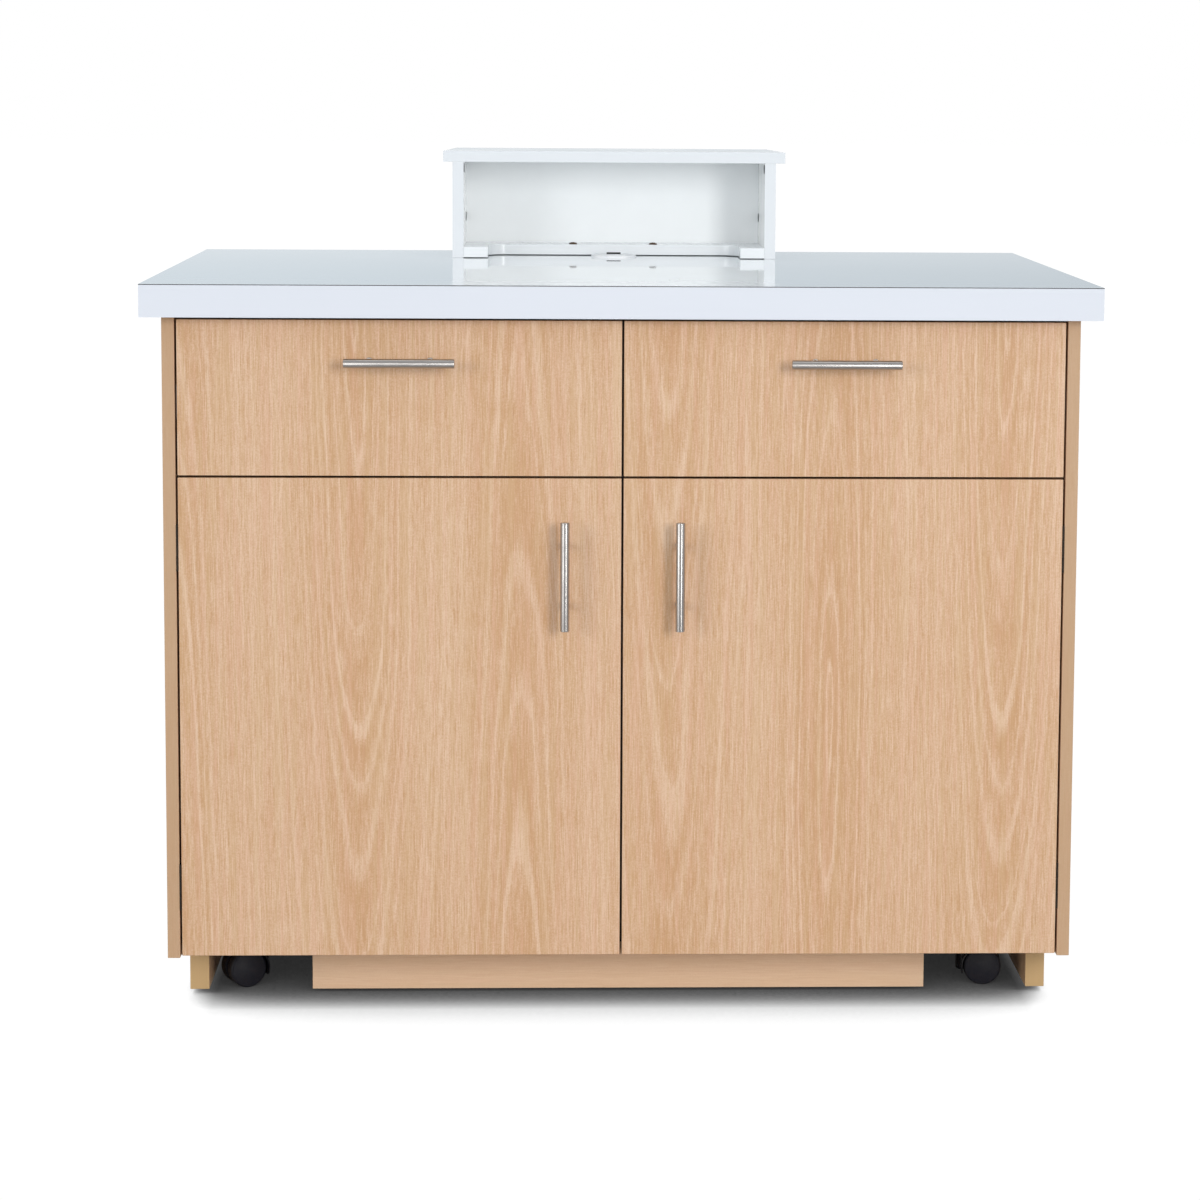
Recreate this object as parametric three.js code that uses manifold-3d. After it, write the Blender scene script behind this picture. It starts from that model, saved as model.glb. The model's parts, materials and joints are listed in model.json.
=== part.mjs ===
// Rolling two-drawer, two-door work table with a small open shelf box at the rear.
// Millimetres, +Z up. The front faces -Y. The origin is on the floor, under the
// middle of the whole object, so the castors stand on z = 0.
import * as THREE from 'three';
import { mergeVertices } from 'three/addons/utils/BufferGeometryUtils.js';
import Module from 'manifold-3d';

const wasm = await Module();
wasm.setup();

// ---------------------------------------------------------------- dimensions

const BOARD = 16;                 // carcass, doors, drawer fronts and shelf box boards
const GAP = 2.7;                  // reveal round the inset doors and drawer fronts

const WORKTOP = { width: 1219, depth: 914, thick: 42, top: 940, front: -452.5 };
const SHEET = 1.2;                // laminate top sheet
const BAND = 1.2;                 // laminate strip round the worktop's edge

const OVERHANG = 26;              // worktop past the carcass at front and back
const CARCASS = {
  halfWidth: 584,
  front: WORKTOP.front + OVERHANG,
  back: WORKTOP.front + WORKTOP.depth - OVERHANG,
  bottom: 69,
  top: WORKTOP.top - WORKTOP.thick,
};
const INNER = CARCASS.halfWidth - BOARD;          // inner face of each side panel
const FLOOR_TOP = CARCASS.bottom + BOARD;         // upper face of the bottom panel
const BACK_PANEL = 6;
const BEHIND_FRONTS = CARCASS.front + BOARD + 1;  // first plane clear of the fronts

const DRAWER_FRONT = { bottom: 695.5, top: 894 };
const DOOR = { bottom: 72, top: 692.7, open: 110 };
const FRONT_OUTER = INNER - GAP;                  // outer edge of each front
const FRONT_INNER = GAP / 2;                      // edge beside the centre line

const DRAWER_BOX = { side: 12, height: 150, bottom: 712, length: 550, floor: 6, groove: 6 };
const SLIDE = { gap: 12.7, height: 45, sheet: 1.4, length: 538 };

const HANDLE = { length: 140, radius: 6, posts: 77, postRadius: 4.5, reach: 29 };
const DRAWER_HANDLE_Z = 841;
const DOOR_HANDLE = { x: 73.5, z: 569.5 };

const HINGE = { height: 60, knuckle: 1.1, leaf: 1, depth: 13, fromEnd: 90 };

const SHELF = { bottom: 372, front: CARCASS.front + 66 };
const CABLE_NOTCH = { front: 225, bottom: 800 };

const PLINTH = { front: -341.5, back: 400, bottom: 6, outer: 564, thick: 25 };
const TOE_KICK = { halfWidth: 403.5, thick: BOARD };

// Swivel axes and the way each castor trails at rest, in degrees from +X.
const CASTORS = [
  { name: 'front_left', x: -478, y: -283, trail: 205 },
  { name: 'front_right', x: 465, y: -287, trail: -4 },
  { name: 'rear_left', x: -472, y: 332, trail: 158 },
  { name: 'rear_right', x: 472, y: 332, trail: 34 },
];
const WHEEL = { radius: 25, inner: 4.6, outer: 20, dome: 4, axle: 4, flats: 40 };
const HOUSING = { offset: 22, outer: 29, inner: 26.6, halfWidth: 24, web: 4 };
const STEM = { radius: 5, top: 82.5 };

const HUTCH = {
  halfWidth: 234, topHalfWidth: 247.5, front: 232.5,
  back: WORKTOP.front + WORKTOP.depth, top: 1094.5, panel: 393.5,
};
const HUTCH_BASE = { bottom: 941, thick: 15, earWidth: 35, cutDepth: 90, cornerRadius: 27 };

const GROMMET = {
  y: 284.5, hole: 30, flange: 33, flangeThick: 3.2, tube: 29.7, bore: 27, bottom: 901,
  cap: 26.6, slotX: 21, slotY: 11,
};

// ------------------------------------------------------------ shape helpers

function box(x0, x1, y0, y1, z0, z1) {
  const shape = new THREE.BoxGeometry(x1 - x0, y1 - y0, z1 - z0);
  return shape.translate((x0 + x1) / 2, (y0 + y1) / 2, (z0 + z1) / 2);
}

// Cylinder standing on z0.
function post(radius, x, y, z0, z1, segments = 32) {
  const shape = new THREE.CylinderGeometry(radius, radius, z1 - z0, segments);
  return shape.rotateX(Math.PI / 2).translate(x, y, (z0 + z1) / 2);
}

function toSolid(shape) {
  const bare = shape.clone();
  bare.deleteAttribute('normal');
  bare.deleteAttribute('uv');
  const merged = mergeVertices(bare, 1e-4);
  return new wasm.Manifold(new wasm.Mesh({
    numProp: 3,
    vertProperties: new Float32Array(merged.attributes.position.array),
    triVerts: new Uint32Array(merged.index.array),
  }));
}

function toShape(solid) {
  const mesh = solid.getMesh();
  const shape = new THREE.BufferGeometry();
  const points = new Float32Array(mesh.numVert * 3);
  for (let i = 0; i < mesh.numVert; i += 1) {
    for (let k = 0; k < 3; k += 1) points[3 * i + k] = mesh.vertProperties[mesh.numProp * i + k];
  }
  shape.setAttribute('position', new THREE.BufferAttribute(points, 3));
  shape.setIndex(new THREE.BufferAttribute(new Uint32Array(mesh.triVerts), 1));
  shape.computeVertexNormals();
  return shape;
}

const join = (...shapes) => toShape(shapes.map(toSolid).reduce((a, b) => a.add(b)));
const cut = (shape, ...tools) => (
  toShape(tools.map(toSolid).reduce((a, b) => a.subtract(b), toSolid(shape))));

// The same shape handed the other way, with its faces still pointing out.
function mirrorX(shape) {
  const flipped = toShape(toSolid(shape)).scale(-1, 1, 1);
  const index = flipped.index.array;
  for (let i = 0; i < index.length; i += 3) [index[i], index[i + 1]] = [index[i + 1], index[i]];
  flipped.computeVertexNormals();
  return flipped;
}

// ---------------------------------------------------------------- materials

const LOOKS = {
  wood: [0xdcb48f, 0.55, 0],
  edgeWood: [0xd6b184, 0.6, 0],
  whiteGloss: [0xe9eef6, 0.12, 0],
  whiteBoard: [0xe6eae8, 0.3, 0],
  whitePlastic: [0xeef1f4, 0.35, 0],
  chipboard: [0xb99a72, 0.85, 0],
  steel: [0xc4c6c8, 0.25, 1],
  zinc: [0xa9adb0, 0.4, 1],
  blackPlastic: [0x24232a, 0.45, 0],
  wheelBlack: [0x2b2a33, 0.5, 0],
};

const table = new THREE.Group();

function add(name, shape, look, parent = table) {
  const [color, roughness, metalness] = LOOKS[look];
  const material = new THREE.MeshStandardMaterial({ color, roughness, metalness });
  const mesh = new THREE.Mesh(shape, material);
  mesh.name = name;
  parent.add(mesh);
  return mesh;
}

// Both sides of the cabinet: sign -1 is the left, +1 the right. A span given from
// the outside in comes back as [low x, high x] on that side.
const SIDES = [['left', -1], ['right', 1]];
const span = (sign, outer, inner) => (sign < 0 ? [-outer, -inner] : [inner, outer]);

// ------------------------------------------------------------------ carcass

function buildCarcass() {
  for (const [side, sign] of SIDES) {
    const [x0, x1] = span(sign, CARCASS.halfWidth, INNER);
    add(`${side}_side_panel`,
      box(x0, x1, CARCASS.front, CARCASS.back, CARCASS.bottom, CARCASS.top), 'wood');
    const [p0, p1] = span(sign, PLINTH.outer, PLINTH.outer - PLINTH.thick);
    add(`${side}_plinth_board`,
      box(p0, p1, PLINTH.front, PLINTH.back, PLINTH.bottom, CARCASS.bottom), 'edgeWood');
    const [s0, s1] = span(sign, INNER - 0.5, BOARD / 2 + 0.5);
    add(`${side}_shelf`,
      box(s0, s1, SHELF.front, CARCASS.back - BACK_PANEL - 2, SHELF.bottom, SHELF.bottom + BOARD),
      'wood');
  }
  add('toe_kick', box(-TOE_KICK.halfWidth, TOE_KICK.halfWidth, PLINTH.front,
    PLINTH.front + TOE_KICK.thick, PLINTH.bottom, CARCASS.bottom), 'wood');

  // Blind holes from below take the castor stems.
  const floor = box(-INNER, INNER, BEHIND_FRONTS, CARCASS.back, CARCASS.bottom, FLOOR_TOP);
  const stemHoles = CASTORS.map((castor) => (
    post(STEM.radius + 0.4, castor.x, castor.y, CARCASS.bottom - 5, STEM.top + 0.5, 24)));
  add('bottom_panel', cut(floor, ...stemHoles), 'wood');

  // The divider is notched behind the drawers, under the grommet, for cables.
  const divider = box(-BOARD / 2, BOARD / 2, BEHIND_FRONTS, CARCASS.back - BACK_PANEL,
    FLOOR_TOP, CARCASS.top);
  add('centre_divider', cut(divider, box(-50, 50, CABLE_NOTCH.front, CARCASS.back + 50,
    CABLE_NOTCH.bottom, CARCASS.top + 50)), 'wood');
  add('back_panel', box(-INNER, INNER, CARCASS.back - BACK_PANEL, CARCASS.back,
    FLOOR_TOP, CARCASS.top), 'wood');
}

// ------------------------------------------------------------------ worktop

function buildWorktop() {
  const x = WORKTOP.width / 2;
  const y0 = WORKTOP.front;
  const y1 = WORKTOP.front + WORKTOP.depth;
  const z0 = WORKTOP.top - WORKTOP.thick;
  const z1 = WORKTOP.top - SHEET;
  const hole = post(GROMMET.hole, 0, GROMMET.y, z0 - 5, WORKTOP.top + 5, 48);
  const core = box(-x + BAND, x - BAND, y0 + BAND, y1 - BAND, z0, z1);
  add('worktop_core', cut(core, hole), 'chipboard');
  add('worktop_sheet', cut(box(-x, x, y0, y1, z1, WORKTOP.top), hole), 'whiteGloss');
  add('worktop_edge_band', cut(box(-x, x, y0, y1, z0, z1),
    box(-x + BAND, x - BAND, y0 + BAND, y1 - BAND, z0 - 5, z1 + 5)), 'whiteGloss');
}

// ---------------------------------------------------------------- shelf box

function buildHutch() {
  const inner = HUTCH.halfWidth - BOARD;
  const underTop = HUTCH.top - BOARD;
  for (const [side, sign] of SIDES) {
    const [x0, x1] = span(sign, HUTCH.halfWidth, inner);
    add(`hutch_${side}_side`, box(x0, x1, HUTCH.front, HUTCH.back, WORKTOP.top, underTop),
      'whiteBoard');
  }
  // The top overhangs the sides at the front and tapers until it is flush with them behind.
  const top = new THREE.Shape();
  top.moveTo(-HUTCH.topHalfWidth, HUTCH.front);
  top.lineTo(HUTCH.topHalfWidth, HUTCH.front);
  top.lineTo(HUTCH.halfWidth, HUTCH.back);
  top.lineTo(-HUTCH.halfWidth, HUTCH.back);
  top.closePath();
  const board = new THREE.ExtrudeGeometry(top, { depth: BOARD, bevelEnabled: false });
  add('hutch_top', board.translate(0, 0, underTop), 'whiteBoard');
  add('hutch_back', box(-inner, inner, HUTCH.panel, HUTCH.panel + BOARD, WORKTOP.top, underTop),
    'whiteBoard');

  // The base is a U in plan: two ears at the front, with the bite between them
  // rounded at its inner corners.
  const bite = inner - HUTCH_BASE.earWidth;
  const biteBack = HUTCH.front + HUTCH_BASE.cutDepth;
  const r = HUTCH_BASE.cornerRadius;
  const plan = new THREE.Shape();
  plan.moveTo(-inner, HUTCH.front);
  plan.lineTo(-bite, HUTCH.front);
  plan.lineTo(-bite, biteBack - r);
  plan.absarc(-bite + r, biteBack - r, r, Math.PI, Math.PI / 2, true);
  plan.lineTo(bite - r, biteBack);
  plan.absarc(bite - r, biteBack - r, r, Math.PI / 2, 0, true);
  plan.lineTo(bite, HUTCH.front);
  plan.lineTo(inner, HUTCH.front);
  plan.lineTo(inner, HUTCH.panel);
  plan.lineTo(-inner, HUTCH.panel);
  plan.closePath();
  const base = new THREE.ExtrudeGeometry(plan, {
    depth: HUTCH_BASE.thick, bevelEnabled: false, curveSegments: 10,
  });
  add('hutch_base', base.translate(0, 0, HUTCH_BASE.bottom), 'whiteBoard');
}

// ------------------------------------------------------------ cable grommet

function buildGrommet() {
  const rim = WORKTOP.top + GROMMET.flangeThick;
  const profile = [
    [GROMMET.bore, GROMMET.bottom], [GROMMET.tube, GROMMET.bottom],
    [GROMMET.tube, WORKTOP.top], [GROMMET.flange, WORKTOP.top],
    [GROMMET.flange, rim - 1.4], [GROMMET.flange - 1.6, rim],
    [GROMMET.bore, rim], [GROMMET.bore, GROMMET.bottom],
  ].map(([radius, z]) => new THREE.Vector2(radius, z));
  const sleeve = new THREE.LatheGeometry(profile, 48).rotateX(Math.PI / 2);
  add('grommet_sleeve', sleeve.translate(0, GROMMET.y, 0), 'whitePlastic');

  const disc = post(GROMMET.cap, 0, GROMMET.y, rim - 4, rim + 0.6, 48);
  const slot = box(-GROMMET.slotX / 2, GROMMET.slotX / 2,
    GROMMET.y - GROMMET.slotY / 2, GROMMET.y + GROMMET.slotY / 2, rim - 10, rim + 10);
  add('grommet_cap', cut(disc, slot), 'whitePlastic');
}

// ------------------------------------------------------------------ handles

// Bar handle lying along X with its centre at the origin. The bar stands off the
// front by HANDLE.reach and two posts run back to it, along +Y.
function handleShape() {
  const half = HANDLE.length / 2;
  const r = HANDLE.radius;
  const chamfer = 0.8;
  const profile = [[0, -half], [r - chamfer, -half], [r, -half + chamfer],
    [r, half - chamfer], [r - chamfer, half], [0, half]]
    .map(([radius, along]) => new THREE.Vector2(radius, along));
  const bar = new THREE.LatheGeometry(profile, 28).rotateZ(Math.PI / 2);
  const posts = [-1, 1].map((sign) => {
    const leg = new THREE.CylinderGeometry(HANDLE.postRadius, HANDLE.postRadius, HANDLE.reach, 20);
    return leg.translate(sign * HANDLE.posts / 2, HANDLE.reach / 2, 0);
  });
  return join(bar, ...posts);
}

// ------------------------------------------------------------------ drawers

// C-shaped slide member, its web on the plane x = 0 and its flanges towards +X.
function channel(height, flange, sheet, y0, y1) {
  const h = height / 2;
  const section = new THREE.Shape();
  [[0, -h], [flange, -h], [flange, -h + sheet], [sheet, -h + sheet],
    [sheet, h - sheet], [flange, h - sheet], [flange, h], [0, h]]
    .forEach(([x, z], i) => (i ? section.lineTo(x, z) : section.moveTo(x, z)));
  section.closePath();
  const shape = new THREE.ExtrudeGeometry(section, { depth: y1 - y0, bevelEnabled: false });
  return shape.rotateX(Math.PI / 2).translate(0, y1, 0);
}

function buildDrawer(side, sign) {
  const name = `${side}_drawer`;
  const [f0, f1] = span(sign, FRONT_OUTER, FRONT_INNER);
  const back = CARCASS.front + BOARD;
  const front = box(f0, f1, CARCASS.front, back, DRAWER_FRONT.bottom, DRAWER_FRONT.top);
  add(`${name}_front`, front, 'wood');

  const handle = add(`${name}_handle`, handleShape(), 'steel');
  handle.position.set((f0 + f1) / 2, CARCASS.front - HANDLE.reach, DRAWER_HANDLE_Z);

  // The box hangs between the carcass side and the divider, a slide's width from each.
  const [b0, b1] = span(sign, INNER - SLIDE.gap, BOARD / 2 + SLIDE.gap);
  const { side: wall, bottom: z0, height, length, floor, groove } = DRAWER_BOX;
  const y1 = back + length;
  const z1 = z0 + height;
  const floorZ = z0 + groove;
  const grooveCut = box(b0 + wall - 6, b1 - wall + 6, back - 5, y1 + 5, floorZ - 0.1,
    floorZ + floor + 0.1);
  add(`${name}_left_side`, cut(box(b0, b0 + wall, back, y1, z0, z1), grooveCut), 'whiteBoard');
  add(`${name}_right_side`, cut(box(b1 - wall, b1, back, y1, z0, z1), grooveCut), 'whiteBoard');
  add(`${name}_back`, box(b0 + wall, b1 - wall, y1 - wall, y1, floorZ + floor + 0.1, z1),
    'whiteBoard');
  add(`${name}_bottom`, box(b0 + wall - 5.8, b1 - wall + 5.8, back, y1, floorZ, floorZ + floor),
    'whiteBoard');

  // Each slide is an outer channel on the cabinet and an inner channel on the drawer,
  // facing each other and nested.
  const slideZ = z0 + height / 2;
  const y0 = back + 3;
  const mounts = [['left', b0 - SLIDE.gap, 1], ['right', b1 + SLIDE.gap, -1]];
  for (const [edge, wallX, turn] of mounts) {
    const outer = channel(SLIDE.height, 9.5, SLIDE.sheet, y0, y0 + SLIDE.length);
    const inner = channel(SLIDE.height - 8, 8.5, SLIDE.sheet, y0, y0 + SLIDE.length - 14);
    add(`${name}_${edge}_slide_outer`, turn > 0 ? outer : mirrorX(outer), 'zinc')
      .position.set(wallX, 0, slideZ);
    add(`${name}_${edge}_slide_inner`, turn > 0 ? mirrorX(inner) : inner, 'zinc')
      .position.set(wallX + turn * SLIDE.gap, 0, slideZ);
  }
}

// -------------------------------------------------------------------- doors

// Thin butt hinge that sits in the reveal. The pin stands on the front face plane in
// the middle of the gap. Drawn for a left-hand door: the fixed leaf is towards -X.
function hingeLeaf(fixed) {
  const third = HINGE.height / 3;
  const half = GAP / 2;
  const barrelGap = 1.8;
  const z = HINGE.height / 2;
  const leaf = fixed
    ? box(-half, -half + HINGE.leaf, 0, HINGE.depth, -z, z)
    : box(half - HINGE.leaf, half, 0, HINGE.depth, -z, z);
  const middle = third / 2;
  const clear = 0.4;
  if (fixed) {
    const notch = box(-half - 1, half, -2, barrelGap, -middle - clear, middle + clear);
    return join(cut(leaf, notch),
      post(HINGE.knuckle, 0, 0, -z, -middle - clear, 16),
      post(HINGE.knuckle, 0, 0, middle + clear, z, 16));
  }
  const ends = [[-z - 1, -middle + clear], [middle - clear, z + 1]]
    .map(([z0, z1]) => box(-half, half + 1, -2, barrelGap, z0, z1));
  return join(cut(leaf, ...ends), post(HINGE.knuckle, 0, 0, -middle + clear, middle - clear, 16));
}

function buildDoor(side, sign) {
  const name = `${side}_door`;
  const [d0, d1] = span(sign, FRONT_OUTER, FRONT_INNER);
  add(`${name}_panel`,
    box(d0, d1, CARCASS.front, CARCASS.front + BOARD, DOOR.bottom, DOOR.top), 'wood');

  const handle = add(`${name}_handle`, handleShape(), 'steel');
  handle.rotation.y = Math.PI / 2;
  handle.position.set(sign * DOOR_HANDLE.x, CARCASS.front - HANDLE.reach, DOOR_HANDLE.z);

  const heights = [['lower', DOOR.bottom + HINGE.fromEnd], ['upper', DOOR.top - HINGE.fromEnd]];
  for (const [place, z] of heights) {
    for (const [part, fixed] of [['hinge_fixed_leaf', true], ['hinge_door_leaf', false]]) {
      const shape = sign < 0 ? hingeLeaf(fixed) : mirrorX(hingeLeaf(fixed));
      const leaf = add(`${name}_${place}_${part}`, shape, 'zinc');
      leaf.position.set(sign * (INNER - GAP / 2), CARCASS.front, z);
    }
  }
}

// ------------------------------------------------------------------ castors

// Both shapes are drawn with the swivel axis on x = y = 0 and the wheels trailing
// towards +X.
function castorHousing() {
  const { offset, outer, inner, halfWidth, web } = HOUSING;
  const axleAt = (shape) => shape.translate(offset, 0, WHEEL.radius);
  const drum = (radius, half, segments = 48) => (
    axleAt(new THREE.CylinderGeometry(radius, radius, 2 * half, segments)));

  const shroud = toSolid(drum(outer, halfWidth))
    .subtract(toSolid(box(-60, 90, -60, 60, -60, WHEEL.radius - 9)))
    .subtract(toSolid(box(offset + 12, 90, -60, 60, -60, 90)));
  const hub = toSolid(post(13, 0, 0, 30, 66));
  const wheelSpace = toSolid(drum(inner, 60));
  const webPlate = toSolid(drum(inner + 1, web))
    .intersect(toSolid(box(-20, offset + 12, -20, 20, WHEEL.radius - 9, 90)))
    .add(toSolid(drum(14, web)));
  const stem = toSolid(post(STEM.radius, 0, 0, 40, STEM.top, 24))
    .subtract(toSolid(drum(outer - 1, 60)));
  const axleHole = toSolid(drum(WHEEL.axle + 0.4, 60, 24));
  return toShape(shroud.add(hub).subtract(wheelSpace).add(webPlate).add(stem)
    .subtract(axleHole));
}

// Half a step of turn stands each wheel on a flat, and its corners reach past the radius so
// that the flats lie on it.
function castorWheels() {
  const { radius, inner, outer, dome, axle, flats } = WHEEL;
  const cornerReach = 1 / Math.cos(Math.PI / flats);
  const half = [
    [axle, inner], [radius - 2, inner], [radius - 0.6, inner + 0.8], [radius, inner + 2.4],
    [radius, outer - 3], [radius - 0.9, outer - 1], [radius - 3, outer],
    [radius - 8, outer + dome * 0.55], [radius - 14, outer + dome * 0.85],
    [radius - 20, outer + dome], [0, outer + dome],
  ];
  const profile = [...half.slice().reverse().map(([r, y]) => [r, -y]), ...half]
    .map(([r, y]) => new THREE.Vector2(r * cornerReach, y));
  return new THREE.LatheGeometry(profile, flats, Math.PI / flats)
    .translate(HOUSING.offset, 0, radius);
}

function buildCastors() {
  for (const castor of CASTORS) {
    const swivel = new THREE.Group();
    swivel.position.set(castor.x, castor.y, 0);
    swivel.rotation.z = THREE.MathUtils.degToRad(castor.trail);
    table.add(swivel);
    add(`${castor.name}_castor_housing`, castorHousing(), 'blackPlastic', swivel);
    add(`${castor.name}_castor_wheels`, castorWheels(), 'wheelBlack', swivel);
  }
}

buildCarcass();
buildWorktop();
buildHutch();
buildGrommet();
for (const [side, sign] of SIDES) {
  buildDrawer(side, sign);
  buildDoor(side, sign);
}
buildCastors();

export default table;
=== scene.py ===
"""Looks for the rolling work table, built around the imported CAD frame. Metres, +Z up, front towards -Y."""

import json
import math

import bmesh
import bpy
from mathutils import Matrix, Vector


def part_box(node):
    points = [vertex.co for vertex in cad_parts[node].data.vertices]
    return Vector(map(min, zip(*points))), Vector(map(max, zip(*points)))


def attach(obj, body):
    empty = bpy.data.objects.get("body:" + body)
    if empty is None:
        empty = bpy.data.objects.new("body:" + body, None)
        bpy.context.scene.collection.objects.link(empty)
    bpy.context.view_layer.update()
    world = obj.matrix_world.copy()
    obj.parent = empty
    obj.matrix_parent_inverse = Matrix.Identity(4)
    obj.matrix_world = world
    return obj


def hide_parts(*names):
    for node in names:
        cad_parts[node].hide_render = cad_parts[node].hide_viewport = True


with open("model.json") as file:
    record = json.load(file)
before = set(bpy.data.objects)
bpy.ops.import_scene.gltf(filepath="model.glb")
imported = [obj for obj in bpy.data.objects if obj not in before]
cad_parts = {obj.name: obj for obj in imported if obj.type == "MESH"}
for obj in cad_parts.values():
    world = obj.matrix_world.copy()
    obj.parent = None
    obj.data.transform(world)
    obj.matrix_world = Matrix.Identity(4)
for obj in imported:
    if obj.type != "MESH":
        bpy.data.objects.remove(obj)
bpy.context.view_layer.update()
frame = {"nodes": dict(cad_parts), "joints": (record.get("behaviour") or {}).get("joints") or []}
nodes = frame["nodes"]

MM = 0.001
SIDES = {"left": -1, "right": 1}     # which way along X each side lies


# --------------------------------------------------------------------------
# Node helpers


class Tree:
    """Short calls for building a node tree."""

    def __init__(self, node_tree):
        self.nodes = node_tree.nodes
        self.links = node_tree.links
        self.nodes.clear()
        self.coord = self.nodes.new("ShaderNodeTexCoord")
        self.place = self.coord.outputs["Object"]

    def feed(self, socket, value):
        if isinstance(value, (int, float, tuple)):
            if isinstance(value, tuple) and len(value) == 3 and socket.type == "RGBA":
                value = (*value, 1.0)
            socket.default_value = value
        else:
            self.links.new(value, socket)

    def math(self, kind, a, b=None, c=None, clamp=False):
        node = self.nodes.new("ShaderNodeMath")
        node.operation = kind
        node.use_clamp = clamp
        for socket, value in zip(node.inputs, (a, b, c)):
            if value is not None:
                self.feed(socket, value)
        return node.outputs[0]

    def mapping(self, scale=(1, 1, 1), location=(0, 0, 0), rotation=(0, 0, 0)):
        node = self.nodes.new("ShaderNodeMapping")
        self.links.new(self.place, node.inputs["Vector"])
        node.inputs["Location"].default_value = location
        node.inputs["Rotation"].default_value = rotation
        node.inputs["Scale"].default_value = scale
        return node.outputs[0]

    def noise(self, vector, scale=1.0, detail=2.0, rough=0.5):
        node = self.nodes.new("ShaderNodeTexNoise")
        self.links.new(vector, node.inputs["Vector"])
        node.inputs["Scale"].default_value = scale
        node.inputs["Detail"].default_value = detail
        node.inputs["Roughness"].default_value = rough
        return node.outputs["Fac"]

    def voronoi(self, vector, scale, output="Distance"):
        node = self.nodes.new("ShaderNodeTexVoronoi")
        self.links.new(vector, node.inputs["Vector"])
        node.inputs["Scale"].default_value = scale
        return node.outputs[output]

    def ramp(self, value, *stops):
        """Colour ramp from (position, grey or colour) stops."""
        node = self.nodes.new("ShaderNodeValToRGB")
        self.links.new(value, node.inputs[0])
        elements = node.color_ramp.elements
        while len(elements) < len(stops):
            elements.new(0.5)
        for element, (position, colour) in zip(elements, stops):
            element.position = position
            if not isinstance(colour, tuple):
                colour = (colour, colour, colour)
            element.color = (*colour, 1.0)
        return node.outputs[0]

    def mix(self, factor, a, b):
        node = self.nodes.new("ShaderNodeMix")
        node.data_type = "RGBA"
        self.feed(node.inputs["Factor"], factor)
        self.feed(node.inputs["A"], a)
        self.feed(node.inputs["B"], b)
        return node.outputs["Result"]

    def span(self, value, low, high, to_low, to_high):
        """Value, stretched from the range low to high onto to_low to to_high, and held there."""
        node = self.nodes.new("ShaderNodeMapRange")
        self.feed(node.inputs["Value"], value)
        for name, number in (("From Min", low), ("From Max", high), ("To Min", to_low),
                             ("To Max", to_high)):
            node.inputs[name].default_value = number
        return node.outputs[0]

    def separate(self, vector):
        node = self.nodes.new("ShaderNodeSeparateXYZ")
        self.links.new(vector, node.inputs[0])
        return node.outputs

    def bump(self, height, distance, strength=1.0):
        node = self.nodes.new("ShaderNodeBump")
        self.links.new(height, node.inputs["Height"])
        node.inputs["Distance"].default_value = distance
        node.inputs["Strength"].default_value = strength
        return node.outputs[0]


class Surface(Tree):
    """A material's node tree, ending in one Principled shader."""

    def __init__(self, name):
        self.material = bpy.data.materials.new(name)
        self.material.use_nodes = True
        super().__init__(self.material.node_tree)
        self.shader = self.nodes.new("ShaderNodeBsdfPrincipled")
        self.output = self.nodes.new("ShaderNodeOutputMaterial")
        self.links.new(self.shader.outputs[0], self.output.inputs[0])

    def set(self, **values):
        """Feed the shader's sockets, named with _ for a space, and return the material."""
        for name, value in values.items():
            self.feed(self.shader.inputs[name.replace("_", " ")], value)
        return self.material


def srgb(r, g, b):
    """8-bit display colour to the linear colour a shader wants."""
    def one(v):
        v /= 255
        return v / 12.92 if v <= 0.04045 else ((v + 0.055) / 1.055) ** 2.4
    return (one(r), one(g), one(b))


# --------------------------------------------------------------------------
# Wood-grain laminate

RING = 0.0078      # distance between growth bands, straight across
WOOD_PALE = srgb(229, 198, 169)
WOOD_MID = srgb(216, 179, 146)
WOOD_TAN = srgb(202, 158, 116)
WOOD_ROSE = srgb(221, 176, 148)
WOOD_SAND = srgb(212, 177, 137)
WOOD_PORE = srgb(184, 137, 101)
WOOD_STRIP = srgb(190, 156, 122)


def stretched(t, seed, across_scale, along_scale, along, detail=2.0, rough=0.5):
    """Noise drawn out along the grain; the scales are cycles a metre."""
    scale = [across_scale] * 3
    scale["XYZ".index(along)] = along_scale
    return t.noise(t.mapping(tuple(scale), (seed, seed * 1.7, seed * 0.6)), 1.0, detail, rough)


def centred(t, value, size):
    """A value from 0 to 1, brought about zero and scaled to size from end to end."""
    return t.math("MULTIPLY", t.math("SUBTRACT", value, 0.5), size)


def ring_distance(t, hearts, u, w, bend, swell):
    """Distance from the nearest heart's ring centre, and how near that heart is across the
    grain, from 0 far away to 1 close by."""
    radius = nearness = None
    for place, slope, depth in hearts:
        side = t.math("ADD", t.math("SUBTRACT", u, place), bend)
        down = t.math("ADD", t.math("MULTIPLY_ADD", w, slope, depth), swell)
        r = t.math("SQRT", t.math("ADD", t.math("MULTIPLY", side, side),
                                  t.math("MULTIPLY", down, down)))
        near = t.span(t.math("ABSOLUTE", side), 0.012, 0.085, 1.0, 0.0)
        radius = r if radius is None else t.math("SMOOTH_MIN", radius, r, 0.02)
        nearness = near if nearness is None else t.math("MAXIMUM", nearness, near)
    return radius, nearness


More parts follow.
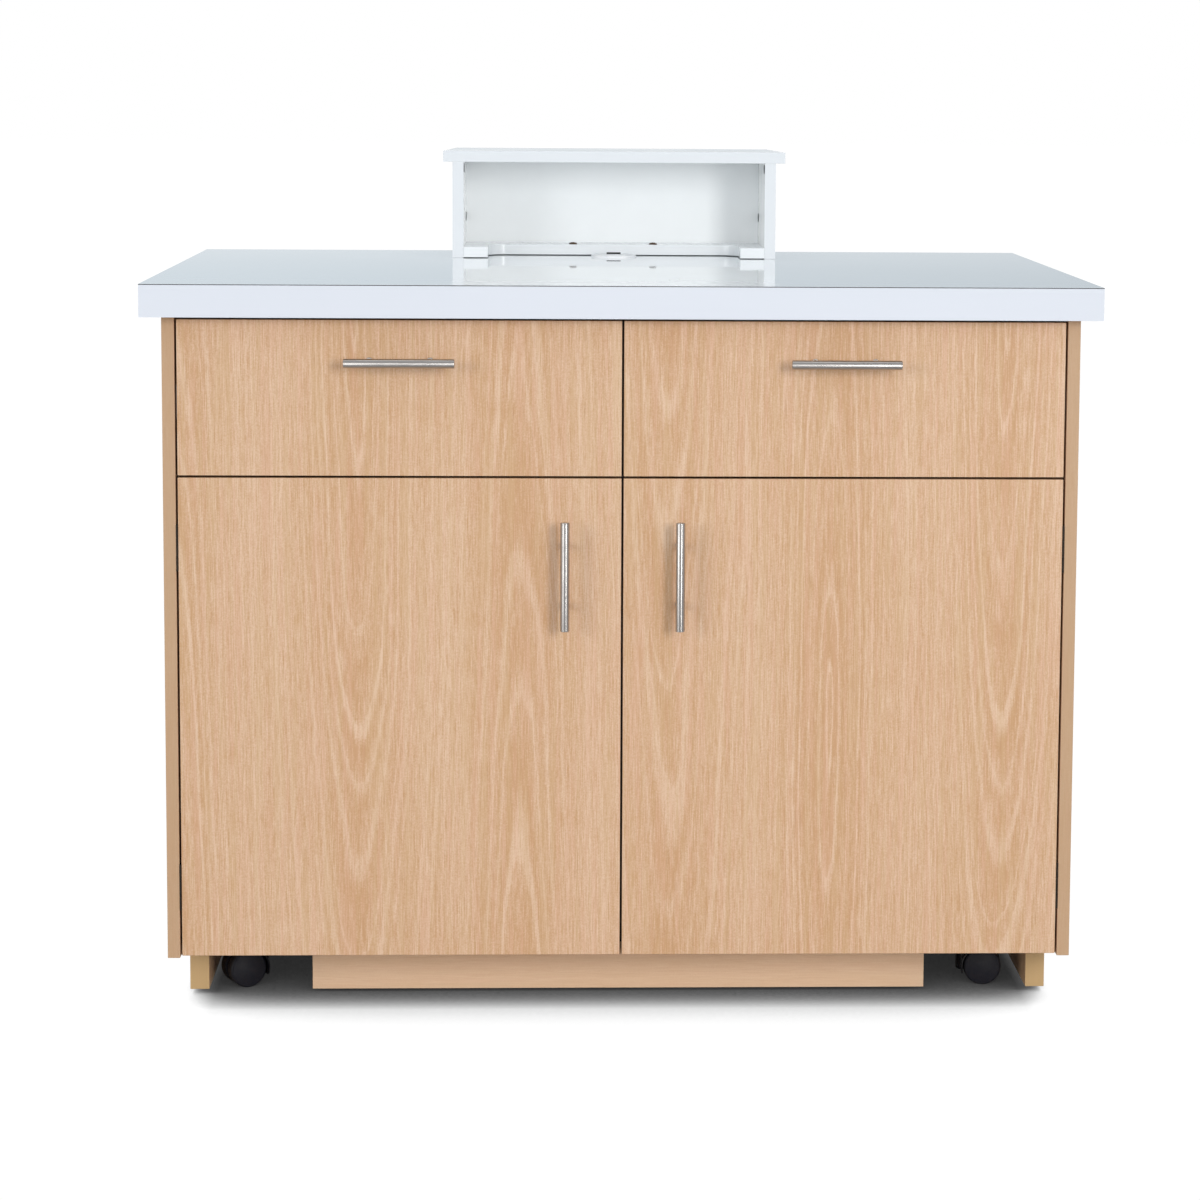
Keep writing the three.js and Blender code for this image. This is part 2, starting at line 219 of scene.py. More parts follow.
def growth_bands(t, radius, nearness, figure):
    """Lighter and darker bands, one to each ring, of uneven width and strength."""
    turn = t.math("DIVIDE", radius, RING)
    uneven = t.nodes.new("ShaderNodeTexNoise")
    uneven.noise_dimensions = "1D"
    t.links.new(turn, uneven.inputs["W"])
    uneven.inputs["Scale"].default_value = 0.45
    turn = t.math("ADD", turn, t.math("MULTIPLY", uneven.outputs["Fac"], 2.6))
    strength = t.nodes.new("ShaderNodeTexWhiteNoise")
    strength.noise_dimensions = "1D"
    t.links.new(t.math("FLOOR", turn), strength.inputs["W"])
    # each band: a pale line, then tan that eases back to the ground colour
    band = t.ramp(t.math("FRACT", turn), (0.0, 0.55), (0.07, 1.0), (0.17, 0.95), (0.30, 0.42),
                  (0.42, 0.22), (0.62, 0.26), (0.85, 0.42), (1.0, 0.52))
    band = t.math("SUBTRACT", band, 0.48)
    band = t.math("MULTIPLY", band, t.span(strength.outputs["Value"], 0, 1, 0.12, 1.0))
    return t.math("MULTIPLY", band, t.span(nearness, 0.0, 1.0, 0.36 * figure, 1.02 * figure))


def wood(name, hearts, along="Z", across="X", seed=0.0, tint=None, tint_amount=0.0,
         face="Y", figure=1.0, strip=WOOD_STRIP, strip_amount=0.8):
    """Flat-cut grain. hearts are (place across, slope, depth): the board is cut at slope through
    rings centred there, depth metres off centre at the zero end, so near each heart the rings
    draw nested arches and away from it they run straight. Sides that don't point along face
    carry the darker edge strip; the divider's near-black strip is painted shade."""
    t = Surface(name)
    axes = t.separate(t.place)
    bend = centred(t, stretched(t, seed, 5.0, 1.6, along), 0.030)
    swell = centred(t, stretched(t, seed + 3, 7.0, 2.4, along), 0.018)
    feather = centred(t, stretched(t, seed + 5, 300.0, 18.0, along, 2.0, 0.6), 0.0016)
    radius, nearness = ring_distance(t, hearts, axes[across], axes[along], bend, swell)
    band = growth_bands(t, t.math("ADD", radius, feather), nearness, figure)

    broad = centred(t, stretched(t, seed, 70.0, 1.6, along, 2.0, 0.55), 0.50)
    fine = centred(t, stretched(t, seed + 1, 380.0, 9.0, along, 2.0, 0.6), 0.62)
    hair = centred(t, stretched(t, seed + 2, 1000.0, 34.0, along, 1.0, 0.5), 1.75)
    speck = centred(t, t.noise(t.mapping((1, 1, 1), (seed, 2, 1)), 620.0, 1.0, 0.5), 1.0)
    cloud = centred(t, stretched(t, seed + 7, 6.0, 2.0, along, 2.0, 0.5), 0.30)
    lightness = band
    for part in (broad, fine, hair, speck, cloud):
        lightness = t.math("ADD", lightness, part)
    lightness = t.math("SUBTRACT", lightness, t.math("MULTIPLY", nearness, 0.17 * figure))
    lightness = t.math("ADD", lightness, 0.5, clamp=True)
    colour = t.ramp(lightness, (0.0, WOOD_TAN), (0.5, WOOD_MID), (1.0, WOOD_PALE))
    hue = stretched(t, seed + 9, 150.0, 5.0, along, 2.0, 0.6)
    colour = t.mix(t.span(hue, 0.50, 0.68, 0.0, 0.35), colour, WOOD_ROSE)
    colour = t.mix(t.span(hue, 0.50, 0.34, 0.0, 0.40), colour, WOOD_SAND)
    pores = t.ramp(stretched(t, seed + 4, 800.0, 30.0, along, 1.0), (0.64, 0.0), (0.74, 1.0))
    colour = t.mix(t.math("MULTIPLY", pores, 0.30), colour, WOOD_PORE)
    if tint is not None:
        colour = t.mix(tint_amount, colour, tint)
    # cut edges carry a slightly darker strip than the faces; on the divider it is near black, painted shade
    facing = t.separate(t.coord.outputs["Normal"])
    squarely = t.math("ABSOLUTE", facing[face])
    colour = t.mix(t.span(squarely, 0.6, 0.8, strip_amount, 0.0), colour, strip)
    rough = t.math("ADD", t.span(hair, -0.4, 0.4, 0.46, 0.36), t.math("MULTIPLY", pores, 0.12))
    height = t.math("SUBTRACT", t.math("MULTIPLY", hair, 0.5), t.math("MULTIPLY", pores, 0.9))
    return t.set(Base_Color=colour, Roughness=rough, Specular_IOR_Level=0.42,
                 Normal=t.bump(height, 0.00008, 0.5))


# --------------------------------------------------------------------------
# Other finishes

DUST = (0.2, 0.19, 0.18)


def gloss_surface(name, colour, rough, seed):
    """Polished laminate: faint cloudiness, hairline scratches and rub marks. Gives the tree and
    its tone, so that a caller can add to the tone."""
    t = Surface(name)
    cloud = t.noise(t.mapping((3, 3, 3), (seed, seed, 0)), 1.0, 4.0, 0.55)
    tone = t.mix(t.span(cloud, 0.3, 0.7, 0.0, 0.5), colour, tuple(0.955 * c for c in colour))
    scratch = t.noise(t.mapping((14, 900, 14), (seed, 2, 1), (0, 0, 0.5)), 1.0, 1.0, 0.5)
    scratch_b = t.noise(t.mapping((900, 10, 10), (2, seed, 1), (0, 0, 0.3)), 1.0, 1.0, 0.5)
    lines = t.math("MAXIMUM", t.ramp(scratch, (0.72, 0.0), (0.78, 1.0)),
                   t.ramp(scratch_b, (0.73, 0.0), (0.79, 1.0)))
    smear = t.noise(t.mapping((6, 2.2, 5), (seed, 5, 5)), 1.0, 5.0, 0.6)
    gloss = t.math("ADD", t.span(smear, 0.35, 0.75, rough, rough + 0.006),
                   t.math("MULTIPLY", lines, 0.006))
    t.set(Roughness=gloss)
    return t, tone


def gloss_white(name, colour, rough, seed):
    """Polished laminate of one colour all through."""
    t, tone = gloss_surface(name, colour, rough, seed)
    return t.set(Base_Color=tone)


def sheet_edge_white(name, colour):
    """The worktop's top sheet: glossy white above, with its dark core showing at the cut edge."""
    t, tone = gloss_surface(name, colour, 0.035, 1.3)
    upward = t.math("GREATER_THAN", t.separate(t.coord.outputs["Normal"])["Z"], 0.35)
    return t.set(Base_Color=t.mix(upward, srgb(58, 58, 62), tone))


def steel(name, along, colour, rough, streak=900.0, turned=0.0):
    """Brushed metal with fine lines along one axis and a few dull patches. turned is how far the
    shine is drawn out along that axis, as it is on a bar polished on a lathe."""
    t = Surface(name)
    scale = [streak, streak, streak]
    scale["XYZ".index(along)] = 12.0
    lines = t.noise(t.mapping(tuple(scale)), 1.0, 3.0, 0.6)
    smudge = t.noise(t.mapping((38, 38, 38)), 1.0, 3.0, 0.55)
    tone = t.mix(t.span(lines, 0.3, 0.7, 0.0, 0.6), colour, tuple(0.8 * c for c in colour))
    gloss = t.math("ADD", t.span(lines, 0.3, 0.7, rough - 0.05, rough + 0.07),
                   t.span(smudge, 0.45, 0.75, 0.0, 0.1))
    if turned:
        hoop = t.nodes.new("ShaderNodeVectorMath")
        hoop.operation = "CROSS_PRODUCT"
        t.links.new(t.nodes.new("ShaderNodeNewGeometry").outputs["Normal"], hoop.inputs[0])
        hoop.inputs[1].default_value = [float(axis == along) for axis in "XYZ"]
        t.links.new(hoop.outputs[0], t.shader.inputs["Tangent"])
        t.set(Anisotropic=turned, Anisotropic_Rotation=0.25)
    return t.set(Base_Color=tone, Metallic=1.0, Roughness=gloss,
                 Normal=t.bump(lines, 0.00002, 0.3))


def plastic(name, colour, rough, grain, depth=0.00005, dust=0.0):
    """Moulded plastic: fine spark texture, soft colour drift and, low down, a little dust."""
    t = Surface(name)
    spark = t.noise(t.mapping((1, 1, 1)), grain, 2.0, 0.5)
    drift = t.noise(t.mapping((1, 1, 1)), 45.0, 3.0, 0.5)
    lighter = tuple(min(1, 1.35 * c) for c in colour)
    tone = t.mix(t.span(drift, 0.35, 0.7, 0.0, 0.7), colour, lighter)
    if dust:
        height = t.separate(t.place)["Z"]
        low = t.span(height, 0.0, 0.03, dust, 0.02)
        speck = t.noise(t.mapping((1, 1, 1)), 320.0, 3.0, 0.7)
        tone = t.mix(t.math("MULTIPLY", low, t.ramp(speck, (0.42, 0.1), (0.68, 1.0))),
                     tone, DUST)
    gloss = t.span(drift, 0.3, 0.7, rough - 0.05, rough + 0.08)
    return t.set(Base_Color=tone, Roughness=gloss, Normal=t.bump(spark, depth, 0.35))


def chipboard(name):
    """Pressed wood chips in resin, as seen on the worktop's raw underside."""
    t = Surface(name)
    chips = t.voronoi(t.mapping((1, 1, 1)), 260.0, output="Color")
    flakes = t.noise(t.mapping((420, 160, 420), (1, 2, 3)), 1.0, 3.0, 0.6)
    spread = t.separate(chips)["X"]
    tone = t.ramp(t.math("ADD", t.math("MULTIPLY", spread, 0.5), t.math("MULTIPLY", flakes, 0.5)),
                  (0.2, srgb(150, 112, 74)), (0.55, srgb(190, 155, 112)), (0.85, srgb(216, 190, 150)))
    return t.set(Base_Color=tone, Roughness=t.span(flakes, 0.3, 0.7, 0.7, 0.95),
                 Normal=t.bump(flakes, 0.0003, 0.5))


def melamine(name, colour, rough, seed=0.0, edge=None):
    """White melamine board: shallow pearl texture and faint mottling; edges that face front or
    back can be darkened to another tone, which is painted shade."""
    t = Surface(name)
    pearl = t.voronoi(t.mapping((1, 1, 1), (seed, 0, 0)), 900.0)
    mottle = t.noise(t.mapping((9, 9, 9), (seed, seed, 2)), 1.0, 4.0, 0.55)
    tone = t.mix(t.span(mottle, 0.3, 0.7, 0.0, 1.0), colour, tuple(0.965 * c for c in colour))
    # painted shade: faces that point front or back are darkened
    if edge is not None:
        facing = t.math("ABSOLUTE", t.separate(t.coord.outputs["Normal"])["Y"])
        tone = t.mix(t.span(facing, 0.5, 0.8, 0.0, 1.0), tone, edge)
    gloss = t.span(mottle, 0.3, 0.7, rough - 0.03, rough + 0.06)
    return t.set(Base_Color=tone, Roughness=gloss, Normal=t.bump(pearl, 0.00001, 0.12))


LEFT_HEARTS = ((-0.338, -0.075, 0.067), (-0.128, 0.047, 0.026), (-0.575, 0.055, 0.004))
RIGHT_HEARTS = ((0.268, 0.066, -0.0244), (0.492, -0.078, 0.072), (0.060, -0.05, 0.085))
WOODS = {
    "left": wood("oak_laminate_left", LEFT_HEARTS, seed=1.3),
    "right": wood("oak_laminate_right", RIGHT_HEARTS, seed=4.1),
    "sides": wood("oak_laminate_sides", ((0.05, 0.066, -0.030), (-0.31, -0.075, 0.078)),
                  across="Y", seed=8.2, face="X", figure=0.7),
    # The divider's edges are painted near black: painted shade for the gap between the doors, where its
    # front edge shows.
    "divider": wood("oak_laminate_divider", ((0.02, 0.07, 0.01),), across="Y", seed=5.2,
                    face="X", strip=srgb(48, 20, 10), strip_amount=1.0),
    "back": wood("oak_laminate_back", ((0.27, 0.062, -0.022), (-0.16, -0.07, 0.072)), seed=12.9,
                 figure=0.7),
    # The toe-kick's oak is mixed strongly towards pale: painted light, lifting a board that sits in shade
    # under the fronts.
    "toe": wood("oak_laminate_toe_kick", ((0.11, 0.012, 0.030),), along="X", across="Z", seed=3.3,
                tint=srgb(243, 211, 178), tint_amount=0.62, figure=0.6),
    "flat": wood("oak_laminate_flat", ((0.1, 0.07, 0.02), (-0.28, -0.07, 0.09)),
                 along="X", across="Y", seed=6.7, face="Z"),
    "plinth": wood("oak_edge", ((0.0, 0.05, 0.3),), across="Y", along="Z", seed=9.4,
                   tint=srgb(208, 174, 132), tint_amount=0.35, face="X",
                   strip=srgb(206, 173, 122), strip_amount=0.85),
}
FINISH = {
    "edge_band": gloss_white("worktop_edge_white", srgb(228, 233, 242), 0.09, 2.0),
    "sheet": sheet_edge_white("worktop_sheet_white", srgb(236, 241, 244)),
    "core": chipboard("raw_chipboard"),
    # The shelf box is one white board. Its copies differ to paint shade: the edges of the rest that point
    # front or back are darker, and the base's copy is darker still, painted shade set to how the front
    # lights fall; the back's copy is a touch darker.
    "board": melamine("white_board", srgb(254, 255, 255), 0.16, edge=srgb(226, 230, 234)),
    "board_back": melamine("white_board_back", srgb(250, 253, 254), 0.16),
    "board_base": melamine("white_board_base", srgb(238, 242, 245), 0.16),
    "cam": steel("cam_fitting_zinc", "Z", (0.12, 0.13, 0.13), 0.4, 1500.0),
    "brush": plastic("grommet_brush_black", srgb(12, 12, 14), 0.8, 1800.0),
    "drawer_board": melamine("drawer_white_board", srgb(236, 237, 234), 0.3, 3.0),
    "white_plastic": plastic("grommet_white", srgb(235, 238, 242), 0.50, 2200.0, 0.00002),
    "handle_x": steel("handle_steel_level", "X", (0.50, 0.475, 0.455), 0.27, turned=0.95),
    "handle_z": steel("handle_steel_upright", "Z", (0.50, 0.475, 0.455), 0.27, turned=0.95),
    "post": steel("handle_post_steel", "Y", (0.33, 0.29, 0.25), 0.42),
    "slide": steel("slide_zinc", "Y", (0.56, 0.57, 0.58), 0.32, 400.0),
    # The hinges are near black, painted shade: their knuckles read as the shade in the door gaps.
    "hinge": steel("hinge_near_black_gap_shade", "Z", (0.05, 0.042, 0.036), 0.42, 600.0),
    "screw": steel("screw_zinc", "Z", (0.6, 0.61, 0.62), 0.3, 1500.0),
    "brass": steel("screw_brass", "Z", (0.13, 0.085, 0.06), 0.42, 1500.0),
    "castor": plastic("castor_black", srgb(12, 12, 19), 0.42, 900.0, 0.0001, 0.03),
    "wheel": plastic("wheel_black", srgb(8, 9, 24), 0.62, 700.0, 0.0002, 0.04),
    "tread": plastic("tread_grey_black", srgb(14, 14, 20), 0.66, 500.0, 0.0002, 0.12),
    "catch": plastic("catch_grey", srgb(60, 60, 62), 0.5, 1200.0),
    "hole": plastic("hole_dark", srgb(66, 50, 36), 0.8, 1800.0),
}


def wear(obj, material):
    obj.data.materials.clear()
    obj.data.materials.append(material)
    return obj


# --------------------------------------------------------------------------
# CAD nodes that keep their shape: a finish and softened arrises


def soften(obj, width):
    """Round the sharp edges of a CAD node by width, with modifiers alone."""
    weld = obj.modifiers.new("weld", "WELD")
    weld.merge_threshold = 1e-5
    bevel = obj.modifiers.new("arris", "BEVEL")
    bevel.width = width
    bevel.segments = 2
    bevel.limit_method = "ANGLE"
    bevel.angle_limit = math.radians(40)
    bevel.harden_normals = True


def finish_of(name):
    """The material of a CAD node and the width of its softened edges, in metres."""
    if name == "worktop_sheet":
        return FINISH["sheet"], 0.00025
    if name == "worktop_edge_band":
        return FINISH["edge_band"], 0.0
    if name == "worktop_core":
        return FINISH["core"], 0.0
    if name == "hutch_back":
        return FINISH["board_back"], 0.0006
    if name == "hutch_base":
        return FINISH["board_base"], 0.0006
    if name.startswith("hutch"):
        return FINISH["board"], 0.0006
    if "slide_" in name:
        return FINISH["slide"], 0.0002
    if "hinge" in name:
        return FINISH["hinge"], 0.0
    if "drawer" in name and not name.endswith("front"):
        return FINISH["drawer_board"], 0.0005
    if name == "toe_kick":
        return WOODS["toe"], 0.0007
    if "plinth" in name:
        return WOODS["plinth"], 0.0007
    if name.endswith("side_panel"):
        return WOODS["sides"], 0.0006
    if name == "centre_divider":
        return WOODS["divider"], 0.0003
    if name in ("bottom_panel", "left_shelf", "right_shelf"):
        return WOODS["flat"], 0.0005
    if name == "back_panel":
        return WOODS["back"], 0.0004
    return WOODS["left" if name.startswith("left") else "right"], 0.0008


for node_name, node in nodes.items():
    material, arris = finish_of(node_name)
    wear(node, material)
    if arris:
        soften(node, arris)


# --------------------------------------------------------------------------
# Mesh helpers

SMOOTH_ANGLE = 32     # degrees: a bend sharper than this stays a hard edge


def smooth(mesh, angle):
    """Smooth shading, with hard edges where the surface bends by more than angle, in degrees."""
    mesh.shade_smooth()
    mesh.set_sharp_from_angle(angle=math.radians(angle))


def new_object(name, bm, material, angle=SMOOTH_ANGLE):
    mesh = bpy.data.meshes.new(name)
    bmesh.ops.recalc_face_normals(bm, faces=bm.faces)
    bm.to_mesh(mesh)
    bm.free()
    smooth(mesh, angle)
    obj = bpy.data.objects.new(name, mesh)
    bpy.context.scene.collection.objects.link(obj)
    return wear(obj, material)


def add_lathe(bm, profile, matrix, segments=64):
    """Closed solid of revolution about local Z from (radius, height) points."""
    rings = []
    for radius, height in profile:
        steps = segments if radius > 1e-7 else 1
        rings.append([bm.verts.new(matrix @ Vector((radius * math.cos(2 * math.pi * i / steps),
                                                    radius * math.sin(2 * math.pi * i / steps),
                                                    height)))
                      for i in range(steps)])
    pairs = list(zip(rings, rings[1:]))
    if len(rings[0]) > 1:
        pairs.append((rings[-1], rings[0]))
    for a, b in pairs:
        for i in range(segments):
            j = (i + 1) % segments
            ring = [a[i % len(a)], a[j % len(a)], b[j % len(b)], b[i % len(b)]]
            face = list(dict.fromkeys(ring))
            if len(face) > 2:
                bm.faces.new(face)


def add_block(bm, low, high, round_by=0.0):
    """A block with rounded edges, joined into bm."""
    made = bmesh.ops.create_cube(bm, size=1.0)["verts"]
    low, high = Vector(low), Vector(high)
    for v in made:
        v.co = Vector(low[k] + (v.co[k] + 0.5) * (high[k] - low[k]) for k in range(3))
    if round_by:
        edges = {e for v in made for e in v.link_edges}
        bmesh.ops.bevel(bm, geom=list(edges), offset=round_by, segments=2,
                        profile=0.5, affect="EDGES")


def aim(direction, at):
    """Matrix that stands local Z along direction with its origin at a point."""
    turn = Vector(direction).normalized().to_track_quat("Z", "Y").to_matrix().to_4x4()
    return Matrix.Translation(Vector(at)) @ turn


def combined(operation, name, base, others, material):
    """One new object: base with each of others cut away (DIFFERENCE) or joined on (UNION). The
    bmeshes given are used up."""
    solid = new_object(name, base, material)
    tools = [new_object(f"{name}_tool_{index}", bm, material) for index, bm in enumerate(others)]
    for tool in tools:
        boolean = solid.modifiers.new("boolean", "BOOLEAN")
        boolean.operation = operation
        boolean.solver = "MANIFOLD"
        boolean.object = tool
    bpy.context.view_layer.update()
    graph = bpy.context.evaluated_depsgraph_get()
    shaped = bpy.data.meshes.new_from_object(solid.evaluated_get(graph))
    for tool in tools:
        bpy.data.objects.remove(tool)
    solid.modifiers.clear()
    solid.data = shaped
    smooth(shaped, SMOOTH_ANGLE)
    return wear(solid, material)


def carve(name, base, cuts, material):
    """Base with each of cuts taken away."""
    return combined("DIFFERENCE", name, base, cuts, material)


def middle(node_name):
    """The centre of a CAD node's box."""
    low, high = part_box(node_name)
    return (low + high) / 2


# --------------------------------------------------------------------------
# Bar handles

BAR_RADIUS = 6 * MM
POST_RADIUS = 4.5 * MM
POST_OFFSET = 38.5 * MM     # from a handle's middle to each of its two posts


def bar_handle(name, node_name, body, along):
    """A bar with chamfered ends on two posts, each standing on a thin collar."""
    low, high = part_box(node_name)
    centre = (low + high) / 2
    front = low.y + BAR_RADIUS
    face = high.y
    axis = Vector((1, 0, 0)) if along == "X" else Vector((0, 0, 1))
    half = (high - low).dot(axis) / 2
    chamfer = 0.9 * MM
    bm = bmesh.new()
    profile = [(0, -half), (BAR_RADIUS - chamfer - 0.3 * MM, -half),
               (BAR_RADIUS - chamfer * 0.35, -half + chamfer * 0.35),
               (BAR_RADIUS, -half + chamfer + 0.3 * MM)]
    profile += [(radius, -height) for radius, height in reversed(profile)]
    add_lathe(bm, profile, aim(axis, (centre.x, front, centre.z)), 72)
    bar_faces = len(bm.faces)
    collar = POST_RADIUS + 1.1 * MM
    reach = face - front - 2 * MM
    for sign in (-1, 1):
        foot = Vector((centre.x, face, centre.z)) + axis * sign * POST_OFFSET
        add_lathe(bm, [(0, 0), (collar, 0), (collar, 1.0 * MM), (collar - 0.4 * MM, 1.4 * MM),
                       (POST_RADIUS, 1.5 * MM), (POST_RADIUS, reach), (0, reach)],
                  aim((0, -1, 0), foot), 48)
    bm.faces.ensure_lookup_table()
    for post_face in bm.faces[bar_faces:]:
        post_face.material_index = 1
    piece = new_object(name, bm, FINISH["handle_x" if along == "X" else "handle_z"], 30)
    piece.data.materials.append(FINISH["post"])
    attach(piece, body)
    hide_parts(node_name)


for side in SIDES:
    bar_handle(f"{side}_drawer_bar", f"{side}_drawer_handle", f"{side}_drawer", "X")
    bar_handle(f"{side}_door_bar", f"{side}_door_handle", f"{side}_door", "Z")


# --------------------------------------------------------------------------
# Screws


def cross_slots(at, direction, length, width, depth, turn):
    """The two strokes of a cross slot, as separate solids to cut away."""
    strokes = []
    for angle in (turn, turn + math.pi / 2):
        bm = bmesh.new()
        add_block(bm, (-length / 2, -width / 2, -depth), (length / 2, width / 2, 4 * MM))
        bm.transform(aim(direction, at) @ Matrix.Rotation(angle, 4, "Z"))
        strokes.append(bm)
    return strokes


def pan_screw(name, at, direction, body, material, turn, radius=4.2 * MM, height=2.4 * MM):
    """A domed screw head on a short straight edge, with a cross slot turned by turn."""
    edge = 0.5 * MM
    steps = 7
    dome = [(radius * math.cos(math.pi / 2 * i / steps),
             edge + height * math.sin(math.pi / 2 * i / steps)) for i in range(steps)]
    bm = bmesh.new()
    add_lathe(bm, [(0, 0), (radius, 0)] + dome + [(0, edge + height)], aim(direction, at), 32)
    top = Vector(at) + Vector(direction).normalized() * (height + edge)
    piece = carve(name, bm, cross_slots(top, direction, radius * 1.15, radius * 0.26,
                                        height * 0.55, turn), material)
    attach(piece, body)


SHELF_BOX_SCREW_X = 59 * MM
SHELF_BOX_SCREW_Y = 333 * MM

base_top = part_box("hutch_base")[1].z
for index, x in enumerate((-SHELF_BOX_SCREW_X, SHELF_BOX_SCREW_X)):
    pan_screw(f"hutch_screw_{index + 1}", (x, SHELF_BOX_SCREW_Y, base_top), (0, 0, 1), "cabinet",
              FINISH["brass"], 0.35 + 0.7 * index, 6.0 * MM, 2.6 * MM)

# Two screws hold each handle from behind its front.
for side in SIDES:
    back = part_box(f"{side}_drawer_front")[1].y
    for part, axis, turn in (("drawer", Vector((1, 0, 0)), 0.2), ("door", Vector((0, 0, 1)), 0.5)):
        bar = middle(f"{side}_{part}_handle")
        for index, offset in enumerate((-POST_OFFSET, POST_OFFSET)):
            pan_screw(f"{side}_{part}_handle_screw_{index + 1}",
                      Vector((bar.x, back, bar.z)) + offset * axis, (0, 1, 0), f"{side}_{part}",
                      FINISH["screw"], turn + index)


# --------------------------------------------------------------------------
# Fittings inside the shelf box and the cupboards


def cam_fitting(name, at, direction):
    """A turned fixing disc, nearly flush with the board, with a cross slot."""
    radius, height = 6.5 * MM, 0.9 * MM
    bm = bmesh.new()
    add_lathe(bm, [(0, 0), (radius, 0), (radius, height - 0.3 * MM), (radius - 0.3 * MM, height),
                   (0, height)], aim(direction, at), 40)
    top = Vector(at) + Vector(direction) * height
    piece = carve(name, bm, cross_slots(top, direction, 8.0 * MM, 1.6 * MM, 0.6 * MM, 0.3),
                  FINISH["cam"])
    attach(piece, "cabinet")


CAM_INSET = 9 * MM              # from the board that a cam holds to the cam's middle
FRONT_CAM_SETBACK = 14 * MM     # from the side's front edge
REAR_CAM_DROP = 84 * MM         # from the side's top

box_low, box_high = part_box("hutch_left_side")
box_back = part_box("hutch_back")[0].y
for side, sign in SIDES.items():
    wall = abs(box_high.x) * sign
    inward = (-sign, 0, 0)
    cam_fitting(f"hutch_{side}_front_cam",
                (wall, box_low.y + FRONT_CAM_SETBACK, box_high.z - CAM_INSET), inward)
    cam_fitting(f"hutch_{side}_rear_cam",
                (wall, box_back - CAM_INSET, box_high.z - REAR_CAM_DROP), inward)

PIN_PITCH = 32 * MM
PIN_LENGTH = 7 * MM
PIN_DROP = 4.3 * MM     # from a shelf's underside down to the middle of its pins
FRONT_ROW = 45 * MM     # from a shelf's front edge back to the front row of pin holes
REAR_ROW = 60 * MM      # from its rear edge forward to the rear row


def pin_row(name, at, inward):
    """Seven bushes of shelf-pin holes, one above the other, in a cupboard wall."""
    bm = bmesh.new()
    for step in range(-3, 4):
        add_lathe(bm, [(2.5 * MM, -1.0 * MM), (3.6 * MM, -1.0 * MM), (3.6 * MM, 0.15 * MM),
                       (3.4 * MM, 0.3 * MM), (2.7 * MM, 0.3 * MM), (2.5 * MM, 0.1 * MM)],
                  aim((inward, 0, 0), (at[0], at[1], at[2] + step * PIN_PITCH)), 24)
    piece = new_object(name, bm, FINISH["hole"])
    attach(piece, "cabinet")


def shelf_pin(name, at, inward):
    """Shelf pin: a collar on the wall, just under the shelf, and a thinner, bevelled shank."""
    bm = bmesh.new()
    add_lathe(bm, [(0, 0), (4.2 * MM, 0), (4.2 * MM, 1.0 * MM), (2.4 * MM, 1.2 * MM),
                   (2.4 * MM, PIN_LENGTH - 0.5 * MM), (1.9 * MM, PIN_LENGTH), (0, PIN_LENGTH)],
              aim((inward, 0, 0), at), 32)
    piece = new_object(name, bm, FINISH["screw"])
    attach(piece, "cabinet")


def shelf_fittings(side, sign, outer_wall, inner_wall):
    """Two rows of pin holes on each wall of a cupboard, with a shelf pin in each row."""
    low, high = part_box(f"{side}_shelf")
    pin_z = low.z - PIN_DROP
    for wall, x, inward in (("outer", outer_wall * sign, -sign), ("inner", inner_wall * sign, sign)):
        for row, y in (("front", low.y + FRONT_ROW), ("rear", high.y - REAR_ROW)):
            pin_row(f"{side}_{wall}_{row}_pin_holes", (x, y, pin_z), inward)
            shelf_pin(f"{side}_{wall}_{row}_shelf_pin", (x, y, pin_z), inward)


CATCH_DROP = 45 * MM        # from a door's top down to the middle of its catch
CATCH_DEPTH = 13 * MM       # how far the catch stands out from the divider
CATCH_HALF = 23 * MM        # half of the catch's height
PLATE_HALF = 15 * MM        # half of the strike plate's height


def fitting_block(name, low, high, round_by, finish, body):
    bm = bmesh.new()
    add_block(bm, low, high, round_by)
    piece = new_object(name, bm, FINISH[finish])
    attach(piece, body)


def door_catch(side, sign, inner_wall):
    """Magnetic catch on the divider, and the plate it holds on the door."""
    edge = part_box("centre_divider")[0].y
    panel_back, panel_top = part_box(f"{side}_door_panel")[1].yz
    height = panel_top - CATCH_DROP
    near, far = sorted((inner_wall * sign, (inner_wall + CATCH_DEPTH) * sign))
    fitting_block(f"{side}_door_catch", (near, edge + 1.2 * MM, height - CATCH_HALF),
                  (far, edge + 16 * MM, height + CATCH_HALF), 1.0 * MM, "catch", "cabinet")
    near, far = sorted(((inner_wall + 1 * MM) * sign, (inner_wall + CATCH_DEPTH - 1 * MM) * sign))
    fitting_block(f"{side}_door_strike_plate",
                  (near, panel_back - 0.2 * MM, height - PLATE_HALF),
                  (far, panel_back + 0.8 * MM, height + PLATE_HALF), 0.3 * MM, "screw",
                  f"{side}_door")


OUTER_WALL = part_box("right_side_panel")[0].x
INNER_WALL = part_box("centre_divider")[1].x
for side, sign in SIDES.items():
    shelf_fittings(side, sign, OUTER_WALL, INNER_WALL)
    door_catch(side, sign, INNER_WALL)


# --------------------------------------------------------------------------
# Cable grommet

GROMMET_Y = middle("grommet_sleeve").y
GROMMET_BORE = 27.0 * MM
CAP_RADIUS = 26.6 * MM
TUBE_LENGTH = 42 * MM
SLOT_HALF = 10.5 * MM       # half of the cable slot's length


